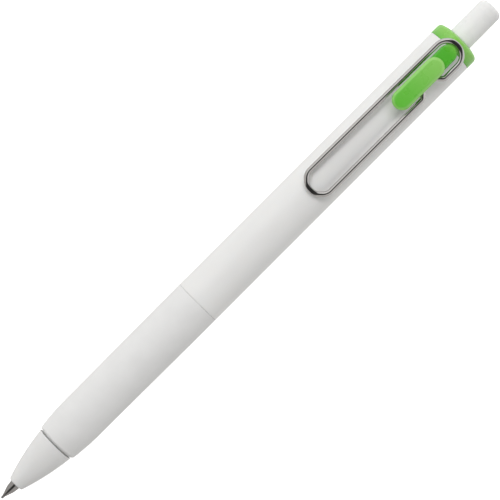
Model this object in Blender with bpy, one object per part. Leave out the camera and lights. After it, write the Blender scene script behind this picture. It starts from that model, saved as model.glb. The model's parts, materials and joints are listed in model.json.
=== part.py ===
"""Retractable gel pen with a wire clip, as an assembly of separate named pieces.

The pen lies along X with its writing tip at -X, its push button at +X and its clip on top.
The origin is at the middle of the pen's footprint, at the height that its barrel rests on.
Every length below is in millimetres and becomes metres where a mesh is made. A station is
the distance from the writing tip along the pen's axis, and a height is above that axis.
"""

import math

import bmesh
import bpy
from mathutils import Matrix, Vector

MM = 0.001

# Driving dimensions
PEN_LENGTH = 141.8
BARREL_RADIUS = 5.2
FIT = 0.1  # radial gap of one piece inside another
SEAM = 0.15  # gap between two pieces that meet end to end
COLUMNS = 36  # facets round the large shells
FINE_COLUMNS = 24  # facets round the small pieces

# Stroke of the push button from tip out to tip in; the rotor turns once by its step
RETRACT_STROKE = 5.5
ROTOR_STEP = math.radians(45)

# Nose cone
NOSE_START = 4.1
NOSE_END = 15.6
NOSE_MOUTH_RADIUS = 1.7
NOSE_SLOPE = 0.327
NOSE_CURVE = 0.0093
NOSE_MOUTH_ROUND = 0.2
TIP_BORE_RADIUS = 1.27
HOLDER_POCKET_START = 7.2
HOLDER_POCKET_RADIUS = 1.75
SPRING_SEAT = 9.3
SPRING_BORE_RADIUS = 2.45
TUBE_BORE_START = 13.6
TUBE_BORE_RADIUS = 2.75
THREAD_START = 16.6
THREAD_PITCH = 1.2
THREAD_TURNS = 3.5
THREAD_DEPTH = 0.22
THREAD_ROOT_RADIUS = 3.12
THREAD_ROWS_PER_TURN = 6
SPIGOT_END = 21.8

# Grip sleeve and the barrel below it
GRIP_START = 15.95
GRIP_EDGE_RADIUS = 4.28
GRIP_FRONT_RADIUS = 4.56
GRIP_FRONT_CHAMFER = 0.35
GRIP_SHOULDER_END = 23.5
GRIP_SHOULDER_RADIUS = 5.06
GRIP_FULL_STATION = 50.0
GRIP_END = 56.6
NECK_RADIUS = 4.1
FRONT_BORE_RADIUS = 3.1
BORE_STEP = 60.0
BORE_STEP_LENGTH = 4.0
REAR_BORE_RADIUS = 4.2
COLLAR_START = 129.22

# End cap with the clip's boss
COLLAR_END = 132.25
COLLAR_ROUND = 0.95
COLLAR_DOME = 0.25
COLLAR_LIP = 1.3
CAP_SPIGOT_START = 126.9
CAP_CAVITY_RADIUS = 3.6
BUTTON_HOLE_RADIUS = 2.85
BOSS_FRONT = 116.3
BOSS_REAR = 129.7
BOSS_HALF_WIDTH = 1.87
BOSS_BASE = 4.6
BOSS_TOP = 7.7
BOSS_CHAMFER = 0.35
SADDLE_RADIUS = 5.3

# Clip tab
TAB_FRONT = 112.6
TAB_REAR = 125.95
TAB_HALF_WIDTH = 2.1
TAB_BASE = 7.85
TAB_TOP = 8.9
PEG_STATIONS = (120.6, 124.6)
PEG_RADIUS = 0.5
PEG_DEPTH = 1.1

# Wire clip
WIRE_RADIUS = 0.575
WIRE_SIDES = 8
CLIP_FRONT = 88.9
CLIP_REAR = 130.45
CLIP_FRONT_SIDES = (-2.96, 3.05)  # Y of the two runs; the loop sits a little askew
CLIP_REAR_SIDES = (-3.1, 2.8)
CLIP_FRONT_SLANT = 1.8  # each front corner is a straight cut at 45 degrees
CLIP_CORNER_RADIUS = 1.2
LEG_CORNERS = (117.75, 123.85)  # where the -Y run turns in towards the boss
LEG_LENGTH = 1.8  # how far each slanted leg goes inwards
LEG_BEND_RADIUS = 0.7
PIVOT_STATION = 120.6
PIVOT_HEIGHT = 6.85
FRONT_WIRE_HEIGHT = 5.8
LEG_ROOM = 0.3
LEG_END_ROOM = 0.25

# Push button and cam mechanism
BUTTON_RADIUS = 2.685
BUTTON_ROUND = 1.2
BUTTON_START = 125.6
BUTTON_BORE_RADIUS = 2.1
BUTTON_BORE_END = 134.0
CORE_RADIUS = 2.75
SPLINE_RADIUS = 3.4
LAND_RADIUS = 2.95
TOOTH_HEIGHT = 0.8
TOOTH_BORE_RADIUS = 1.7
ROTOR_START = 111.25
ROTOR_TIPS = 116.4
ROTOR_BORE_END = 113.8
SPLINE_START = 111.5
SPLINE_END = 113.5
PLUNGER_TIPS = 116.6
RIB_START = 120.5
RIB_END = 125.4
STEM_END = 133.2
SLEEVE_START = 109.4
SLEEVE_LANDS = 113.7
SLEEVE_STRAIGHT = 119.2
SLEEVE_END = 126.7

# Refill
TUBE_RADIUS = 2.6
TUBE_WALL = 0.4
TUBE_START = 21.65
TUBE_END = 110.1
FLANGE_START = 20.5
HOLDER_START = 9.0
HOLDER_RADIUS = 1.55
HOLDER_END = 27.0
INK_END = 88.0
GREASE_END = 92.5
TAIL_START = 106.0
TAIL_END = 111.1
VENT_RADIUS = 0.5
TIP_RADIUS = 1.165
TIP_STEM_RADIUS = 0.9
TIP_STEM_END = 13.8
BALL_RADIUS = 0.22

# Springs
SPRING_RADIUS = 2.0
SPRING_WIRE_RADIUS = 0.18
SPRING_ACTIVE_TURNS = 7
TIP_SPRING_RADIUS = 0.4
TIP_SPRING_WIRE_RADIUS = 0.05
TIP_SPRING_ACTIVE_TURNS = 8

AXIS = Vector((0, 0, BARREL_RADIUS))


def along(station):
    """X of a station, with the origin at the middle of the pen."""
    return station - PEN_LENGTH / 2


def clear_scene():
    for thing in list(bpy.data.objects):
        bpy.data.objects.remove(thing, do_unlink=True)


def material(name, colour, roughness, metallic=0.0, alpha=1.0):
    made = bpy.data.materials.new(name)
    made.use_nodes = True
    shader = made.node_tree.nodes["Principled BSDF"]
    shader.inputs["Base Color"].default_value = (*colour, 1.0)
    shader.inputs["Roughness"].default_value = roughness
    shader.inputs["Metallic"].default_value = metallic
    shader.inputs["Alpha"].default_value = alpha
    return made


def joint_empty(name, origin):
    """An empty on a joint's axis, which the moving pieces hang from."""
    empty = bpy.data.objects.new(name, None)
    empty.location = origin * MM
    bpy.context.scene.collection.objects.link(empty)
    return empty


def skin(rings, wrap):
    """Vertices and faces through a row of rings; a ring of one point closes an end."""
    vertices, spans, faces = [], [], []
    for ring in rings:
        spans.append(range(len(vertices), len(vertices) + len(ring)))
        vertices += ring
    pairs = list(zip(spans, spans[1:]))
    if wrap:
        pairs.append((spans[-1], spans[0]))
    for first, second in pairs:
        for k in range(max(len(first), len(second))):
            near, near_next = first[k % len(first)], first[(k + 1) % len(first)]
            far, far_next = second[k % len(second)], second[(k + 1) % len(second)]
            faces.append(tuple(dict.fromkeys((near, near_next, far_next, far))))
    return vertices, faces


def add(name, surface, look, origin=AXIS, parent=None):
    """An object from vertices in pen millimetres, with its own origin."""
    vertices, faces = surface
    mesh = bpy.data.meshes.new(name)
    mesh.from_pydata([(Vector(v) - origin) * MM for v in vertices], [], faces)
    edit = bmesh.new()
    edit.from_mesh(mesh)
    bmesh.ops.recalc_face_normals(edit, faces=edit.faces)
    edit.to_mesh(mesh)
    edit.free()
    mesh.shade_smooth()
    mesh.set_sharp_from_angle(angle=math.radians(30))
    made = bpy.data.objects.new(name, mesh)
    made.location = origin * MM
    bpy.context.scene.collection.objects.link(made)
    if look:
        mesh.materials.append(look)
    if parent:
        made.parent = parent
        made.location = origin * MM - parent.location
    return made


def tool(name, surface):
    """A solid that only shapes another one."""
    made = add(name, surface, None)
    made.hide_render = True
    made.display_type = "WIRE"
    return made


def boolean(target, other, operation):
    step = target.modifiers.new(f"{operation.lower()} {other.name}", "BOOLEAN")
    step.operation = operation
    step.solver = "EXACT"
    step.object = other


def point(station, radius, angle):
    """A point round the pen's axis; the angle turns from +Y towards +Z."""
    height = BARREL_RADIUS + radius * math.sin(angle)
    return Vector((along(station), radius * math.cos(angle), height))


def circle(station, radius, columns, turn=0.0):
    if radius == 0:
        return [point(station, 0, 0)]
    step = 2 * math.pi / columns
    return [point(station, radius, turn + k * step) for k in range(columns)]


def turned(outline, columns, wrap):
    """A turned shape. A hollow one's outline is closed; a solid one's ends on the axis."""
    return skin([circle(s, r, columns) for s, r in outline], wrap)


def arc(centre, radius, start_deg, end_deg, steps=4):
    """Points of an arc in the station and radius plane; 0 degrees points to the rear."""
    turns = [start_deg + (end_deg - start_deg) * k / steps for k in range(steps + 1)]
    return [
        (centre[0] + radius * math.cos(math.radians(t)), centre[1] + radius * math.sin(math.radians(t)))
        for t in turns
    ]


def between(start, end, count):
    return [start + (end - start) * k / count for k in range(count + 1)]


def thread_height(station, angle):
    """How far a screw thread stands out at one place, 0 to THREAD_DEPTH."""
    turns = (station - THREAD_START) / THREAD_PITCH
    phase = (turns - angle / (2 * math.pi)) % 1.0
    rise = 2.0 - 4.0 * abs(phase - 0.5)
    ends = min(turns, THREAD_TURNS - turns)
    fade = min(1.0, max(0.0, 2 * ends))
    return THREAD_DEPTH * min(1.0, max(0.0, rise - 0.5)) * fade


def thread_rings(root_radius):
    """Rings of a helical thread, front to rear, on a root radius."""
    rings = []
    rows = int(THREAD_TURNS * THREAD_ROWS_PER_TURN)
    for station in between(THREAD_START, THREAD_START + THREAD_TURNS * THREAD_PITCH, rows):
        ring = []
        for k in range(COLUMNS):
            angle = 2 * math.pi * k / COLUMNS
            ring.append(point(station, root_radius + thread_height(station, angle), angle))
        rings.append(ring)
    return rings


def nose_radius(station):
    t = station - NOSE_START
    return NOSE_MOUTH_RADIUS + NOSE_SLOPE * t - NOSE_CURVE * t * t


def grip_radius(station):
    if station < GRIP_SHOULDER_END:
        first = GRIP_START + GRIP_FRONT_CHAMFER
        share = (GRIP_SHOULDER_END - station) / (GRIP_SHOULDER_END - first)
        return GRIP_SHOULDER_RADIUS - (GRIP_SHOULDER_RADIUS - GRIP_FRONT_RADIUS) * share**2
    share = (station - GRIP_SHOULDER_END) / (GRIP_FULL_STATION - GRIP_SHOULDER_END)
    return GRIP_SHOULDER_RADIUS + (BARREL_RADIUS - GRIP_SHOULDER_RADIUS) * min(1.0, share)


def make_barrel(look):
    """One long shell: a neck below the grip, a threaded mouth and a wide rear bore."""
    mouth = GRIP_START + SEAM
    female_root = THREAD_ROOT_RADIUS + FIT
    step = GRIP_END + SEAM
    rear = COLLAR_START - SEAM
    outside = [
        (mouth, NECK_RADIUS), (step, NECK_RADIUS), (step, BARREL_RADIUS - 0.1),
        (step + 0.1, BARREL_RADIUS), (rear - 0.1, BARREL_RADIUS), (rear, BARREL_RADIUS - 0.1),
    ]
    inside = [
        (rear, REAR_BORE_RADIUS), (BORE_STEP + BORE_STEP_LENGTH, REAR_BORE_RADIUS),
        (BORE_STEP, FRONT_BORE_RADIUS),
        (SPIGOT_END + 0.8, FRONT_BORE_RADIUS), (SPIGOT_END + 0.6, female_root),
    ]
    rings = [circle(s, r, COLUMNS) for s, r in outside + inside]
    rings += reversed(thread_rings(female_root))
    rings.append(circle(mouth, female_root + THREAD_DEPTH, COLUMNS))
    add("barrel", skin(rings, wrap=True), look)


def make_grip_sleeve(look):
    """A soft sleeve on the barrel's neck, with a rounded front shoulder."""
    bore = NECK_RADIUS + FIT
    first = GRIP_START + GRIP_FRONT_CHAMFER
    shoulder = [(s, grip_radius(s)) for s in between(first, GRIP_SHOULDER_END, 6)]
    outline = [(GRIP_START, bore), (GRIP_START, GRIP_EDGE_RADIUS)] + shoulder
    outline += [
        (GRIP_FULL_STATION, BARREL_RADIUS), (GRIP_END - 0.15, BARREL_RADIUS),
        (GRIP_END, BARREL_RADIUS - 0.15), (GRIP_END, bore),
    ]
    add("grip_sleeve", turned(outline, COLUMNS, wrap=True), look)


def make_nose_cone(look):
    """The screw-off cone that the tip comes out of, with the return spring's seat inside."""
    corner = arc(
        (NOSE_START + NOSE_MOUTH_ROUND, NOSE_MOUTH_RADIUS - NOSE_MOUTH_ROUND),
        NOSE_MOUTH_ROUND, 180, 110, 3,
    )
    cone = [(s, nose_radius(s)) for s in between(NOSE_START + 0.6, NOSE_END, 9)]
    front = [(NOSE_START, TIP_BORE_RADIUS)] + corner + cone
    shoulder = [(NOSE_END, THREAD_ROOT_RADIUS)]
    behind = [
        (SPIGOT_END, THREAD_ROOT_RADIUS), (SPIGOT_END, TUBE_BORE_RADIUS),
        (TUBE_BORE_START, TUBE_BORE_RADIUS), (TUBE_BORE_START - 0.3, SPRING_BORE_RADIUS),
        (SPRING_SEAT, SPRING_BORE_RADIUS), (SPRING_SEAT, HOLDER_POCKET_RADIUS),
        (HOLDER_POCKET_START + 0.4, HOLDER_POCKET_RADIUS), (HOLDER_POCKET_START, TIP_BORE_RADIUS),
    ]
    rings = [circle(s, r, COLUMNS) for s, r in front + shoulder]
    rings += thread_rings(THREAD_ROOT_RADIUS)
    rings += [circle(s, r, COLUMNS) for s, r in behind]
    add("nose_cone", skin(rings, wrap=True), look)


def stadium(front, rear, half_width, height, inset):
    """A flat outline with two round ends, at one height above the pen's axis."""
    radius = half_width - inset
    ring = []
    for centre, first in ((rear - half_width, -90), (front + half_width, 90)):
        for k in range(9):
            angle = math.radians(first + 180 * k / 8)
            x = along(centre) + radius * math.cos(angle)
            ring.append(Vector((x, radius * math.sin(angle), BARREL_RADIUS + height)))
    return ring


def stadium_block(front, rear, half_width, levels):
    """A block through stadium outlines, each level a height and an inset."""
    rings = [stadium(front, rear, half_width, height, inset) for height, inset in levels]
    middle = Vector((along((front + rear) / 2), 0, 0))
    low = middle + Vector((0, 0, BARREL_RADIUS + levels[0][0]))
    high = middle + Vector((0, 0, BARREL_RADIUS + levels[-1][0]))
    return skin([[low]] + rings + [[high]], wrap=False)


def leg_slot(corner, side, inwards):
    """A channel at 45 degrees for one leg of the clip; inwards is +1 towards the rear."""
    half = WIRE_RADIUS + FIT
    ahead = Vector((inwards, 1, 0)).normalized()
    across = Vector((-ahead.y, ahead.x, 0)) * half
    leg_height = PIVOT_HEIGHT + (corner - PIVOT_STATION) * math.tan(clip_slope())
    bottom = BARREL_RADIUS + leg_height - WIRE_RADIUS - LEG_ROOM
    bend = Vector((along(corner), side, 0))
    reach = LEG_LENGTH * math.sqrt(2) + LEG_END_ROOM
    rings = []
    for place in (bend - ahead, bend + ahead * reach):
        low = place + Vector((0, 0, bottom))
        high = place + Vector((0, 0, BARREL_RADIUS + BOSS_TOP + 1))
        rings.append([low - across, low + across, high + across, high - across])
    vertices, faces = skin(rings, wrap=False)
    faces += [(3, 2, 1, 0), (4, 5, 6, 7)]
    return vertices, faces


def upright_cylinder(station, radius, low, high, columns=16):
    rings = []
    for height, size in ((low, 0), (low, radius), (high, radius), (high, 0)):
        centre = Vector((along(station), 0, BARREL_RADIUS + height))
        turns = [2 * math.pi * k / columns for k in range(columns if size else 1)]
        rings.append([centre + size * Vector((math.cos(t), math.sin(t), 0)) for t in turns])
    return skin(rings, wrap=False)


def make_end_cap(look):
    """The coloured collar, its spigot inside the barrel and the boss that holds the clip."""
    spigot = REAR_BORE_RADIUS - FIT
    dome_edge = COLLAR_END - COLLAR_DOME
    corner = arc(
        (dome_edge - COLLAR_ROUND, BARREL_RADIUS - COLLAR_ROUND), COLLAR_ROUND, 90, 15, 4
    )
    outline = [
        (CAP_SPIGOT_START, CAP_CAVITY_RADIUS), (CAP_SPIGOT_START, spigot),
        (COLLAR_START, spigot), (COLLAR_START, BARREL_RADIUS),
    ] + corner + [
        (COLLAR_END, BUTTON_HOLE_RADIUS + 0.6), (COLLAR_END, BUTTON_HOLE_RADIUS + 0.15),
        (COLLAR_END - 0.15, BUTTON_HOLE_RADIUS),
        (COLLAR_END - COLLAR_LIP, BUTTON_HOLE_RADIUS), (COLLAR_END - COLLAR_LIP, CAP_CAVITY_RADIUS),
    ]
    cap = add("end_cap", turned(outline, COLUMNS, wrap=True), look)

    levels = ((BOSS_BASE, 0), (BOSS_TOP - BOSS_CHAMFER, 0), (BOSS_TOP, BOSS_CHAMFER))
    boss = tool("boss_shape", stadium_block(BOSS_FRONT, BOSS_REAR, BOSS_HALF_WIDTH, levels))
    saddle_outline = [
        (BOSS_FRONT - 2, 0), (BOSS_FRONT - 2, SADDLE_RADIUS), (COLLAR_START, SADDLE_RADIUS),
        (COLLAR_START, 0),
    ]
    boolean(boss, tool("saddle_cutter", turned(saddle_outline, COLUMNS, wrap=False)), "DIFFERENCE")
    boolean(cap, boss, "UNION")

    front_slot = leg_slot(LEG_CORNERS[0], CLIP_FRONT_SIDES[0], 1)
    rear_slot = leg_slot(LEG_CORNERS[1], CLIP_REAR_SIDES[0], -1)
    boolean(cap, tool("front_slot_cutter", front_slot), "DIFFERENCE")
    boolean(cap, tool("rear_slot_cutter", rear_slot), "DIFFERENCE")
    for number, station in enumerate(PEG_STATIONS, 1):
        hole = upright_cylinder(station, PEG_RADIUS + FIT, BOSS_TOP - PEG_DEPTH - 0.2, BOSS_TOP + 1)
        boolean(cap, tool(f"peg_hole_cutter_{number}", hole), "DIFFERENCE")


def make_clip_tab(look):
    """The pad that closes the boss over the clip's legs, staked on by two pegs."""
    levels = (
        (TAB_BASE, 0.2), (TAB_BASE + 0.15, 0), (TAB_TOP - 0.4, 0), (TAB_TOP - 0.12, 0.16),
        (TAB_TOP, 0.5),
    )
    tab = add("clip_tab", stadium_block(TAB_FRONT, TAB_REAR, TAB_HALF_WIDTH, levels), look)
    for number, station in enumerate(PEG_STATIONS, 1):
        peg = upright_cylinder(station, PEG_RADIUS, BOSS_TOP - PEG_DEPTH, TAB_BASE + 0.5)
        boolean(tab, tool(f"peg_shape_{number}", peg), "UNION")


def clip_slope():
    """How steeply the wire clip climbs from the barrel towards its pivot."""
    return math.atan2(PIVOT_HEIGHT - FRONT_WIRE_HEIGHT, PIVOT_STATION - CLIP_FRONT)


def filleted(corners, steps_per_turn=24):
    """A path through flat corners, each rounded by its radius."""
    path = [corners[0][0]]
    for (before, _), (corner, radius), (after, _) in zip(corners, corners[1:], corners[2:]):
        arrive = (corner - before).normalized()
        leave = (after - corner).normalized()
        bend = arrive.angle(leave)
        inside = (leave - arrive * arrive.dot(leave)).normalized()
        centre = corner - arrive * radius * math.tan(bend / 2) + inside * radius
        steps = round(steps_per_turn * bend / (2 * math.pi))
        for k in range(steps + 1):
            turn = bend * k / steps
            path.append(centre - radius * inside * math.cos(turn) + radius * arrive * math.sin(turn))
    path.append(corners[-1][0])
    return path


def swept(path, sideways, radius, sides):
    """A round wire along a path; sideways is a direction across the wire at each point."""
    rings = []
    for k, place in enumerate(path):
        ahead = (path[min(k + 1, len(path) - 1)] - path[max(k - 1, 0)]).normalized()
        across = (sideways[k] - ahead * sideways[k].dot(ahead)).normalized()
        third = ahead.cross(across)
        turns = [2 * math.pi * j / sides for j in range(sides)]
        rings.append([place + radius * (across * math.cos(t) + third * math.sin(t)) for t in turns])
    return skin([[path[0]]] + rings + [[path[-1]]], wrap=False)


def make_clip_wire(look, parent):
    """One steel wire: a long loop whose two ends slant into the boss, towards each other."""
    front, slant, bend = CLIP_FRONT, CLIP_FRONT_SLANT, CLIP_CORNER_RADIUS
    (near, far), (rear_near, rear_far) = CLIP_FRONT_SIDES, CLIP_REAR_SIDES
    half_circle = (rear_far - rear_near) / 2 - 0.02
    front_leg, rear_leg = LEG_CORNERS
    plan = [
        (front_leg + LEG_LENGTH, near + LEG_LENGTH, 0), (front_leg, near, LEG_BEND_RADIUS),
        (front + slant, near, bend), (front, near + slant, bend),
        (front, far - slant, bend), (front + slant, far, bend),
        (CLIP_REAR, rear_far, half_circle), (CLIP_REAR, rear_near, half_circle),
        (rear_leg, rear_near, LEG_BEND_RADIUS), (rear_leg - LEG_LENGTH, rear_near + LEG_LENGTH, 0),
    ]
    corners = [(Vector((station - PIVOT_STATION, y, 0)), radius) for station, y, radius in plan]
    tilt = Matrix.Rotation(-clip_slope(), 3, "Y")
    pivot = Vector((along(PIVOT_STATION), 0, BARREL_RADIUS + PIVOT_HEIGHT))
    path = [pivot + tilt @ place for place in filleted(corners)]
    upright = [tilt @ Vector((0, 0, 1))] * len(path)
    add("clip_wire", swept(path, upright, WIRE_RADIUS, WIRE_SIDES), look, pivot, parent)


def helix_turn(station, helical_until):
    """How far the cam lands have turned at a station; straight behind helical_until."""
    return min(0.0, station - helical_until) * ROTOR_STEP / RETRACT_STROKE


def cam_ring(station, marks, turn):
    """A ring of four equal quarters, each mark an angle in degrees and a radius."""
    quarters = [(90 * quarter + degrees, radius) for quarter in range(4) for degrees, radius in marks]
    return [point(station, radius, math.radians(degrees) + turn) for degrees, radius in quarters]


def plain_marks(marks, radius):
    return [(degrees, radius) for degrees, _ in marks]


SPLINE_MARKS = (
    (2, CORE_RADIUS), (25, CORE_RADIUS), (48, CORE_RADIUS),
    (52, SPLINE_RADIUS), (70, SPLINE_RADIUS), (88, SPLINE_RADIUS),
)
LAND_MARKS = (
    (10, LAND_RADIUS), (25, LAND_RADIUS), (40, LAND_RADIUS), (43, CAP_CAVITY_RADIUS),
    (56.5, CAP_CAVITY_RADIUS), (70, CAP_CAVITY_RADIUS), (83.5, CAP_CAVITY_RADIUS),
    (97, CAP_CAVITY_RADIUS),
)


def make_cam_sleeve(look):
    """The fixed guide: four helical lands that turn the rotor, then four straight ones."""
    even = [(LAND_MARKS[0][0] + 90 * k / len(LAND_MARKS), 0) for k in range(len(LAND_MARKS))]
    outer = plain_marks(even, REAR_BORE_RADIUS - FIT)
    open_bore = plain_marks(LAND_MARKS, CAP_CAVITY_RADIUS)
    stations = between(SLEEVE_LANDS, SLEEVE_STRAIGHT, 6)

    def ring(station, marks):
        return cam_ring(station, marks, helix_turn(station, SLEEVE_STRAIGHT))

    rings = [ring(s, outer) for s in [SLEEVE_START] + stations + [SLEEVE_END]]
    rings.append(ring(SLEEVE_END, LAND_MARKS))
    rings += [ring(s, LAND_MARKS) for s in reversed(stations)]
    rings += [ring(SLEEVE_LANDS - 0.05, open_bore), ring(SLEEVE_START, open_bore)]
    add("cam_sleeve", skin(rings, wrap=True), look)


def toothed(ring_marks, radius, tips, towards, turn):
    """A ring of eight saw teeth whose tips are at one station; towards is where they point."""
    ring = []
    for k, place in enumerate(cam_ring(tips, plain_marks(ring_marks, radius), turn)):
        drop = TOOTH_HEIGHT * (2 - k % 3) / 2
        ring.append(place - Vector((towards * drop, 0, 0)))
    return ring


def make_cam_rotor(look, parent):
    """The indexing cam that pushes the refill, with four splines and a toothed rear crown."""

    def turn(station):
        return helix_turn(station, SLEEVE_STRAIGHT)

    plain = plain_marks(SPLINE_MARKS, CORE_RADIUS)
    roots = ROTOR_TIPS - TOOTH_HEIGHT - 0.2
    rings = [[point(ROTOR_START, 0, 0)], cam_ring(ROTOR_START, plain, turn(SPLINE_START))]
    rings.append(cam_ring(SPLINE_START - 0.05, plain, turn(SPLINE_START)))
    rings += [cam_ring(s, SPLINE_MARKS, turn(s)) for s in between(SPLINE_START, SPLINE_END, 3)]
    rings += [cam_ring(s, plain, turn(SPLINE_END)) for s in (SPLINE_END + 0.05, roots)]
    rings.append(toothed(SPLINE_MARKS, CORE_RADIUS, ROTOR_TIPS, 1, turn(SPLINE_END)))
    rings.append(toothed(SPLINE_MARKS, TOOTH_BORE_RADIUS, ROTOR_TIPS, 1, turn(SPLINE_END)))
    bore = plain_marks(SPLINE_MARKS, TOOTH_BORE_RADIUS)
    rings.append(cam_ring(ROTOR_BORE_END, bore, turn(SPLINE_END)))
    rings.append([point(ROTOR_BORE_END, 0, 0)])
    add("cam_rotor", skin(rings, wrap=False), look, parent=parent)


def make_cam_plunger(look, parent):
    """The toothed plunger: ribs keep it from turning and stop it inside the end cap."""
    plain = plain_marks(SPLINE_MARKS, CORE_RADIUS)
    stem = plain_marks(SPLINE_MARKS, BUTTON_BORE_RADIUS - FIT)
    bore = plain_marks(SPLINE_MARKS, TOOTH_BORE_RADIUS)
    roots = PLUNGER_TIPS + TOOTH_HEIGHT + 0.2
    rings = [[point(RIB_START, 0, 0)], cam_ring(RIB_START, bore, 0)]
    rings.append(toothed(SPLINE_MARKS, TOOTH_BORE_RADIUS, PLUNGER_TIPS, -1, 0))
    rings.append(toothed(SPLINE_MARKS, CORE_RADIUS, PLUNGER_TIPS, -1, 0))
    rings += [cam_ring(s, plain, 0) for s in (roots, RIB_START)]
    rings += [cam_ring(s, SPLINE_MARKS, 0) for s in (RIB_START + 0.05, RIB_END)]
    rings += [cam_ring(s, stem, 0) for s in (RIB_END + 0.05, STEM_END)]
    rings.append([point(STEM_END, 0, 0)])
    add("cam_plunger", skin(rings, wrap=False), look, parent=parent)


def make_knock_button(look, parent):
    """The push button, hollow at the front where it takes the plunger's stem."""
    corner = arc(
        (PEN_LENGTH - BUTTON_ROUND, BUTTON_RADIUS - BUTTON_ROUND), BUTTON_ROUND, 90, 0, 5
    )
    outline = [
        (BUTTON_BORE_END, 0), (BUTTON_BORE_END, BUTTON_BORE_RADIUS),
        (BUTTON_START, BUTTON_BORE_RADIUS), (BUTTON_START, BUTTON_RADIUS),
    ] + corner + [(PEN_LENGTH, 0)]
    add("knock_button", turned(outline, FINE_COLUMNS, wrap=False), look, parent=parent)


def coil(start, end, radius, wire_radius, active_turns, points_per_turn):
    """Centre line of a compression spring with one closed turn at each end."""
    first, last = start + wire_radius, end - wire_radius
    closed = wire_radius * 2.2
    pitch = (last - first - 2 * closed) / active_turns
    turns_all = active_turns + 2
    path, outwards = [], []
    for k in range(turns_all * points_per_turn + 1):
        turns = k / points_per_turn
        active = min(max(turns - 1, 0), active_turns)
        station = first + closed * (turns - active) + pitch * active
        angle = 2 * math.pi * turns
        path.append(point(station, radius, angle))
        outwards.append(Vector((0, math.cos(angle), math.sin(angle))))
    return path, outwards


def make_return_spring(look):
    """Pushes the refill back when the cam lets it go."""
    path, outwards = coil(
        SPRING_SEAT + SEAM, FLANGE_START - SEAM, SPRING_RADIUS, SPRING_WIRE_RADIUS,
        SPRING_ACTIVE_TURNS, 14,
    )
    add("return_spring", swept(path, outwards, SPRING_WIRE_RADIUS, 6), look)


def make_refill(looks, parent):
    """The ink refill: tube, ink, follower, tail plug, holder, metal tip, ball and spring."""
    tube_bore = TUBE_RADIUS - TUBE_WALL
    filling = tube_bore - FIT

    def piece(name, outline, look, wrap, columns=FINE_COLUMNS):
        return add(name, turned(outline, columns, wrap), looks[look], parent=parent)

    tube = [
        (TUBE_START, tube_bore), (TUBE_START, TUBE_RADIUS), (TUBE_END, TUBE_RADIUS),
        (TUBE_END, tube_bore),
    ]
    piece("refill_tube", tube, "tube", True)
    ink_start = HOLDER_END + SEAM
    ink = [(ink_start, 0), (ink_start, filling), (INK_END, filling), (INK_END, 0)]
    piece("refill_ink", ink, "ink", False)
    grease_start = INK_END + SEAM
    grease = [
        (grease_start, 0), (grease_start, filling), (GREASE_END, filling),
        (GREASE_END - 0.8, filling / 2), (GREASE_END - 1.0, 0),
    ]
    piece("refill_grease", grease, "grease", False)
    tail = [
        (TAIL_START, VENT_RADIUS), (TAIL_START, filling), (TUBE_END + SEAM, filling),
        (TUBE_END + SEAM, TUBE_RADIUS), (TAIL_END - 0.15, TUBE_RADIUS),
        (TAIL_END, TUBE_RADIUS - 0.15), (TAIL_END, VENT_RADIUS),
    ]
    piece("refill_tail_plug", tail, "plug", True)
    flange_end = TUBE_START - SEAM
    socket = TIP_STEM_RADIUS + FIT
    channel = 0.7
    holder = [
        (HOLDER_START, socket), (HOLDER_START, HOLDER_RADIUS - 0.2),
        (HOLDER_START + 0.3, HOLDER_RADIUS), (FLANGE_START, HOLDER_RADIUS),
        (FLANGE_START, TUBE_RADIUS), (flange_end, TUBE_RADIUS), (flange_end, filling),
        (HOLDER_END, filling), (HOLDER_END, channel), (TIP_STEM_END + 0.3, channel),
        (TIP_STEM_END + 0.3, socket),
    ]
    piece("refill_tip_holder", holder, "plug", True)
    pocket = BALL_RADIUS + 0.02
    wide = 0.6
    tip = [
        (0.12, pocket), (0.12, 0.26), (0.7, 0.31), (2.65, 0.98), (4.0, TIP_RADIUS),
        (HOLDER_START - 0.2, TIP_RADIUS), (HOLDER_START - 0.2, TIP_STEM_RADIUS),
        (TIP_STEM_END, TIP_STEM_RADIUS), (TIP_STEM_END, wide), (2.0, wide),
        (1.5, BALL_RADIUS / 2), (0.5, BALL_RADIUS / 2), (0.45, pocket),
    ]
    piece("refill_tip", tip, "tip", True)
    ball = [(s, r if 0 < k < 8 else 0) for k, (s, r) in enumerate(
        arc((BALL_RADIUS, 0), BALL_RADIUS, 180, 0, 8)
    )]
    add("tip_ball", turned(ball, 16, False), looks["ball"], parent=parent)
    path, outwards = coil(
        2.2, TIP_STEM_END - 0.3, TIP_SPRING_RADIUS, TIP_SPRING_WIRE_RADIUS,
        TIP_SPRING_ACTIVE_TURNS, 8,
    )
    surface = swept(path, outwards, TIP_SPRING_WIRE_RADIUS, 4)
    add("tip_spring", surface, looks["spring"], parent=parent)


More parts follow.
